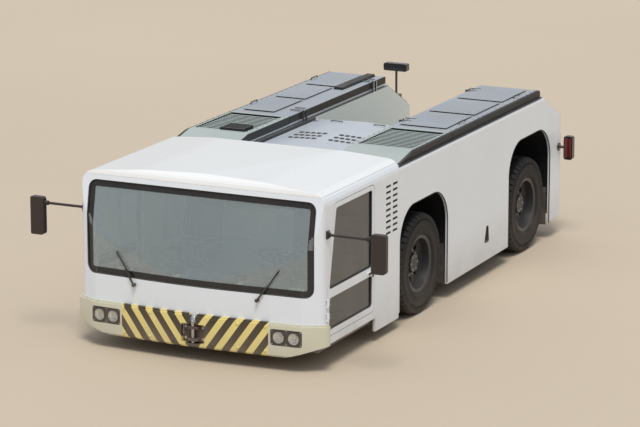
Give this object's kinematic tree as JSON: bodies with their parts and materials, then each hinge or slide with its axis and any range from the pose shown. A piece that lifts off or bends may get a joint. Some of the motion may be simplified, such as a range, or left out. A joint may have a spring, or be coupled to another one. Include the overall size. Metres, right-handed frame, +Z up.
{
  "type": "towbarless aircraft pushback tractor",
  "caption": "Low aircraft tractor with a full-width glazed front cab, two deck arms and a lifting nose-wheel cradle between them, on four large wheels.",
  "frame": {"origin": "middle of the overall box at ground level, under the middle of the tractor", "axes": "+Z up; the cab and the driving direction face -Y; +X is the tractor's left side"},
  "size_m": [4.045, 6.8, 1.895],
  "materials": {
    "frame_paint": "satin chassis paint",
    "body_paint": "gloss white paint, weathered",
    "stripe_paint": "pale yellow and dark diagonal stripes",
    "deck_paint": "blue-grey anti-slip deck paint",
    "lamp": "dark lamp housings",
    "coupling": "blackened steel",
    "cab_inside": "dark cab trim",
    "floor_mat": "ribbed rubber mat",
    "screen_glass": "clear grey-green glass",
    "door_glass": "dark tinted glass",
    "seat_cloth": "dark seat cloth",
    "trim_black": "black plastic and rubber trim",
    "engine": null,
    "axle_paint": "black axle paint",
    "bright_steel": "machined steel",
    "tyre": "black rubber",
    "rim": "grey rim paint",
    "cradle_paint": "light grey paint, worn",
    "gate_paint": "yellow paint, worn"
  },
  "bodies": {
    "tractor": {"chassis": "frame_paint", "body_left": "body_paint", "body_right": "body_paint", "bumper": "stripe_paint", "headlamps": "lamp", "tow_coupling": "coupling", "cab_floor": "floor_mat", "cab_frame": "body_paint", "cab_roof": "body_paint", "windshield": "screen_glass", "rear_window": "screen_glass", "dashboard": "cab_inside", "steering_wheel": "trim_black", "seat_left": "seat_cloth", "seat_right": "seat_cloth", "wipers": "trim_black", "mirrors": "trim_black", "engine": "engine", "grille_left": "deck_paint", "grille_right": "deck_paint", "front_axle": "axle_paint", "rear_lamps": "lamp"},
    "door_left": {"door_left": "body_paint", "door_glass_left": "door_glass"},
    "door_right": {"door_right": "body_paint", "door_glass_right": "door_glass"},
    "hood": {"hood": "body_paint"},
    "deck_left": {"deck_left": "deck_paint"},
    "deck_right": {"deck_right": "deck_paint"},
    "steering_rod": {"steering_rod": "bright_steel"},
    "knuckle_left": {"knuckle_left": "axle_paint"},
    "knuckle_right": {"knuckle_right": "axle_paint"},
    "wheel_front_left": {"tyre_front_left": "tyre", "rim_front_left": "rim"},
    "wheel_front_right": {"tyre_front_right": "tyre", "rim_front_right": "rim"},
    "wheel_rear_left": {"tyre_rear_left": "tyre", "rim_rear_left": "rim"},
    "wheel_rear_right": {"tyre_rear_right": "tyre", "rim_rear_right": "rim"},
    "cradle": {"cradle": "cradle_paint"},
    "gate_left": {"gate_left": "gate_paint"},
    "gate_right": {"gate_right": "gate_paint"},
    "lift_cylinder": {"lift_cylinder": "axle_paint"},
    "lift_rod": {"lift_rod": "bright_steel"}
  },
  "joints": [
    {"name": "steer_left", "type": "hinge", "parent": "tractor", "child": "knuckle_left", "pos_m": [1, -0.7, 0.55], "axis": [0, 0, 1], "range_deg": [-25, 25]},
    {"name": "steer_right", "type": "hinge", "parent": "tractor", "child": "knuckle_right", "pos_m": [-1, -0.7, 0.55], "axis": [0, 0, 1], "range_deg": [-25, 25]},
    {"name": "steer_rod_slide", "type": "slide", "parent": "tractor", "child": "steering_rod", "axis": [1, 0, 0], "range_m": [-0.069, 0.069]},
    {"name": "spin_front_left", "type": "hinge", "parent": "knuckle_left", "child": "wheel_front_left", "pos_m": [1.13, -0.7, 0.55], "axis": [1, 0, 0], "continuous": true},
    {"name": "spin_front_right", "type": "hinge", "parent": "knuckle_right", "child": "wheel_front_right", "pos_m": [-1.13, -0.7, 0.55], "axis": [1, 0, 0], "continuous": true},
    {"name": "spin_rear_left", "type": "hinge", "parent": "tractor", "child": "wheel_rear_left", "pos_m": [1.13, 2.31, 0.55], "axis": [1, 0, 0], "continuous": true},
    {"name": "spin_rear_right", "type": "hinge", "parent": "tractor", "child": "wheel_rear_right", "pos_m": [-1.13, 2.31, 0.55], "axis": [1, 0, 0], "continuous": true},
    {"name": "door_left_swing", "type": "hinge", "parent": "tractor", "child": "door_left", "pos_m": [1.39, -3.124, 0.635], "axis": [0, 0, -1], "range_deg": [0, 75]},
    {"name": "door_right_swing", "type": "hinge", "parent": "tractor", "child": "door_right", "pos_m": [-1.39, -3.124, 0.635], "axis": [0, 0, 1], "range_deg": [0, 75]},
    {"name": "hood_lift", "type": "hinge", "parent": "tractor", "child": "hood", "pos_m": [0, -1.304, 1.7], "axis": [1, 0, 0], "range_deg": [0, 55]},
    {"name": "deck_left_lift", "type": "hinge", "parent": "tractor", "child": "deck_left", "pos_m": [0.591, 1.39, 1.826], "axis": [0, -1, 0], "range_deg": [0, 70]},
    {"name": "deck_right_lift", "type": "hinge", "parent": "tractor", "child": "deck_right", "pos_m": [-0.591, 1.39, 1.826], "axis": [0, 1, 0], "range_deg": [0, 70]},
    {"name": "cradle_lift", "type": "hinge", "parent": "tractor", "child": "cradle", "pos_m": [0, 0.86, 0.38], "axis": [1, 0, 0], "range_deg": [-2.5, 6]},
    {"name": "lift_cylinder_swing", "type": "hinge", "parent": "tractor", "child": "lift_cylinder", "pos_m": [0, 0.81, 1.23], "axis": [1, 0, 0], "range_deg": [-0.6, 1]},
    {"name": "lift_rod_slide", "type": "slide", "parent": "lift_cylinder", "child": "lift_rod", "axis": [0, 0.6934, -0.7206], "range_m": [-0.06, 0.03]},
    {"name": "gate_left_swing", "type": "hinge", "parent": "cradle", "child": "gate_left", "pos_m": [0.435, 2.97, 0.355], "axis": [0, 0, -1], "range_deg": [0, 90]},
    {"name": "gate_right_swing", "type": "hinge", "parent": "cradle", "child": "gate_right", "pos_m": [-0.435, 2.97, 0.355], "axis": [0, 0, 1], "range_deg": [0, 90]}
  ],
  "couplings": [
    {"joint": "steer_right", "follows": "steer_left", "ratio": 1},
    {"joint": "steer_rod_slide", "follows": "steer_left", "m_per_rad": -0.155},
    {"joint": "lift_cylinder_swing", "follows": "cradle_lift", "ratio": 0.1},
    {"joint": "lift_rod_slide", "follows": "cradle_lift", "m_per_rad": -0.556},
    {"joint": "gate_right_swing", "follows": "gate_left_swing", "ratio": 1}
  ]
}
